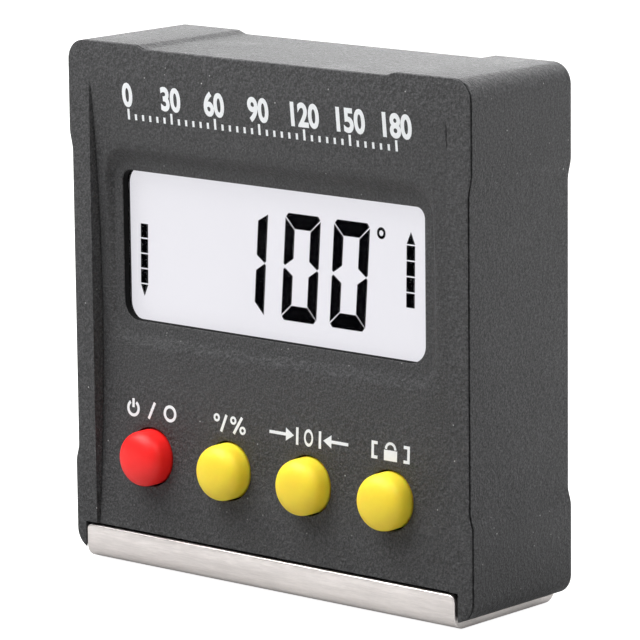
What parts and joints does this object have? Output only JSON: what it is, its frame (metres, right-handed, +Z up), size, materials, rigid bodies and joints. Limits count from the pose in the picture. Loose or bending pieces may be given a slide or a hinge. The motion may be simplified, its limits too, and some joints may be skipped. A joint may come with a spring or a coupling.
{
  "type": "digital angle gauge",
  "caption": "Square digital angle gauge with a dished front panel, recessed LCD window, domed rubber push buttons, magnetic steel base channel and a rear battery door.",
  "frame": {"origin": "centre of the base channel's underside, the magnetic face that rests on the work", "axes": "+Z up, away from the base; the display and the buttons face -Y; +X is to the right as the display is read"},
  "size_m": [0.06, 0.0199, 0.0615],
  "materials": {
    "case_plastic": "fine matte grain, charcoal",
    "battery_cover_plastic": "fine matte grain, charcoal",
    "base_steel": "brushed along its length",
    "gasket_foam": "black foam",
    "clear_window": "clear acrylic",
    "lcd_glass": "lit liquid crystal glass, pale violet white with black segments",
    "diffuser_white": "white light guide",
    "connector_rubber": "striped elastomer strip",
    "board_green": "green solder mask",
    "plated_screw": "nickel plated",
    "black_chip": "moulded epoxy",
    "crystal_can": "drawn metal can",
    "holder_black": "moulded black",
    "cell_steel": "turned finish",
    "contact_nickel": "spring steel, nickel plated",
    "red_rubber": "satin silicone",
    "yellow_rubber": "satin silicone",
    "mat_rubber": "dark silicone sheet",
    "case_screw_steel": "blackened screw steel",
    "magnet_nickel": "nickel plated"
  },
  "bodies": {
    "case": {"front_cover": "case_plastic", "rear_housing": "case_plastic", "base_channel": "base_steel", "display_gasket": "gasket_foam", "display_lens": "clear_window", "lcd_panel": "lcd_glass", "lcd_diffuser": "diffuser_white", "lcd_connector": "connector_rubber", "circuit_board": "board_green", "board_screw_left": "plated_screw", "board_screw_right": "plated_screw", "controller_chip": "black_chip", "tilt_sensor": "black_chip", "buzzer": "black_chip", "crystal": "crystal_can", "battery_holder": "holder_black", "coin_cell": "cell_steel", "battery_contact": "contact_nickel", "snap_dome_1": "contact_nickel", "snap_dome_2": "contact_nickel", "snap_dome_3": "contact_nickel", "snap_dome_4": "contact_nickel", "keypad_mat": "mat_rubber", "case_screw_lower_left": "case_screw_steel", "case_screw_lower_right": "case_screw_steel", "case_screw_upper_left": "case_screw_steel", "case_screw_upper_right": "case_screw_steel", "magnet_left": "magnet_nickel", "magnet_middle": "magnet_nickel", "magnet_right": "magnet_nickel"},
    "power_key": {"power_button": "red_rubber"},
    "unit_key": {"unit_button": "yellow_rubber"},
    "calibrate_key": {"calibrate_button": "yellow_rubber"},
    "hold_key": {"hold_button": "yellow_rubber"},
    "battery_door": {"battery_cover": "battery_cover_plastic"}
  },
  "joints": [
    {"name": "power_press", "type": "slide", "parent": "case", "child": "power_key", "axis": [0, 1, 0], "range_m": [0, 0.0005], "stiffness_N_per_m": 500},
    {"name": "unit_press", "type": "slide", "parent": "case", "child": "unit_key", "axis": [0, 1, 0], "range_m": [0, 0.0005], "stiffness_N_per_m": 500},
    {"name": "calibrate_press", "type": "slide", "parent": "case", "child": "calibrate_key", "axis": [0, 1, 0], "range_m": [0, 0.0005], "stiffness_N_per_m": 500},
    {"name": "hold_press", "type": "slide", "parent": "case", "child": "hold_key", "axis": [0, 1, 0], "range_m": [0, 0.0005], "stiffness_N_per_m": 500},
    {"name": "battery_door_lift", "type": "slide", "parent": "case", "child": "battery_door", "axis": [0, 1, 0], "range_m": [0, 0.012]}
  ]
}
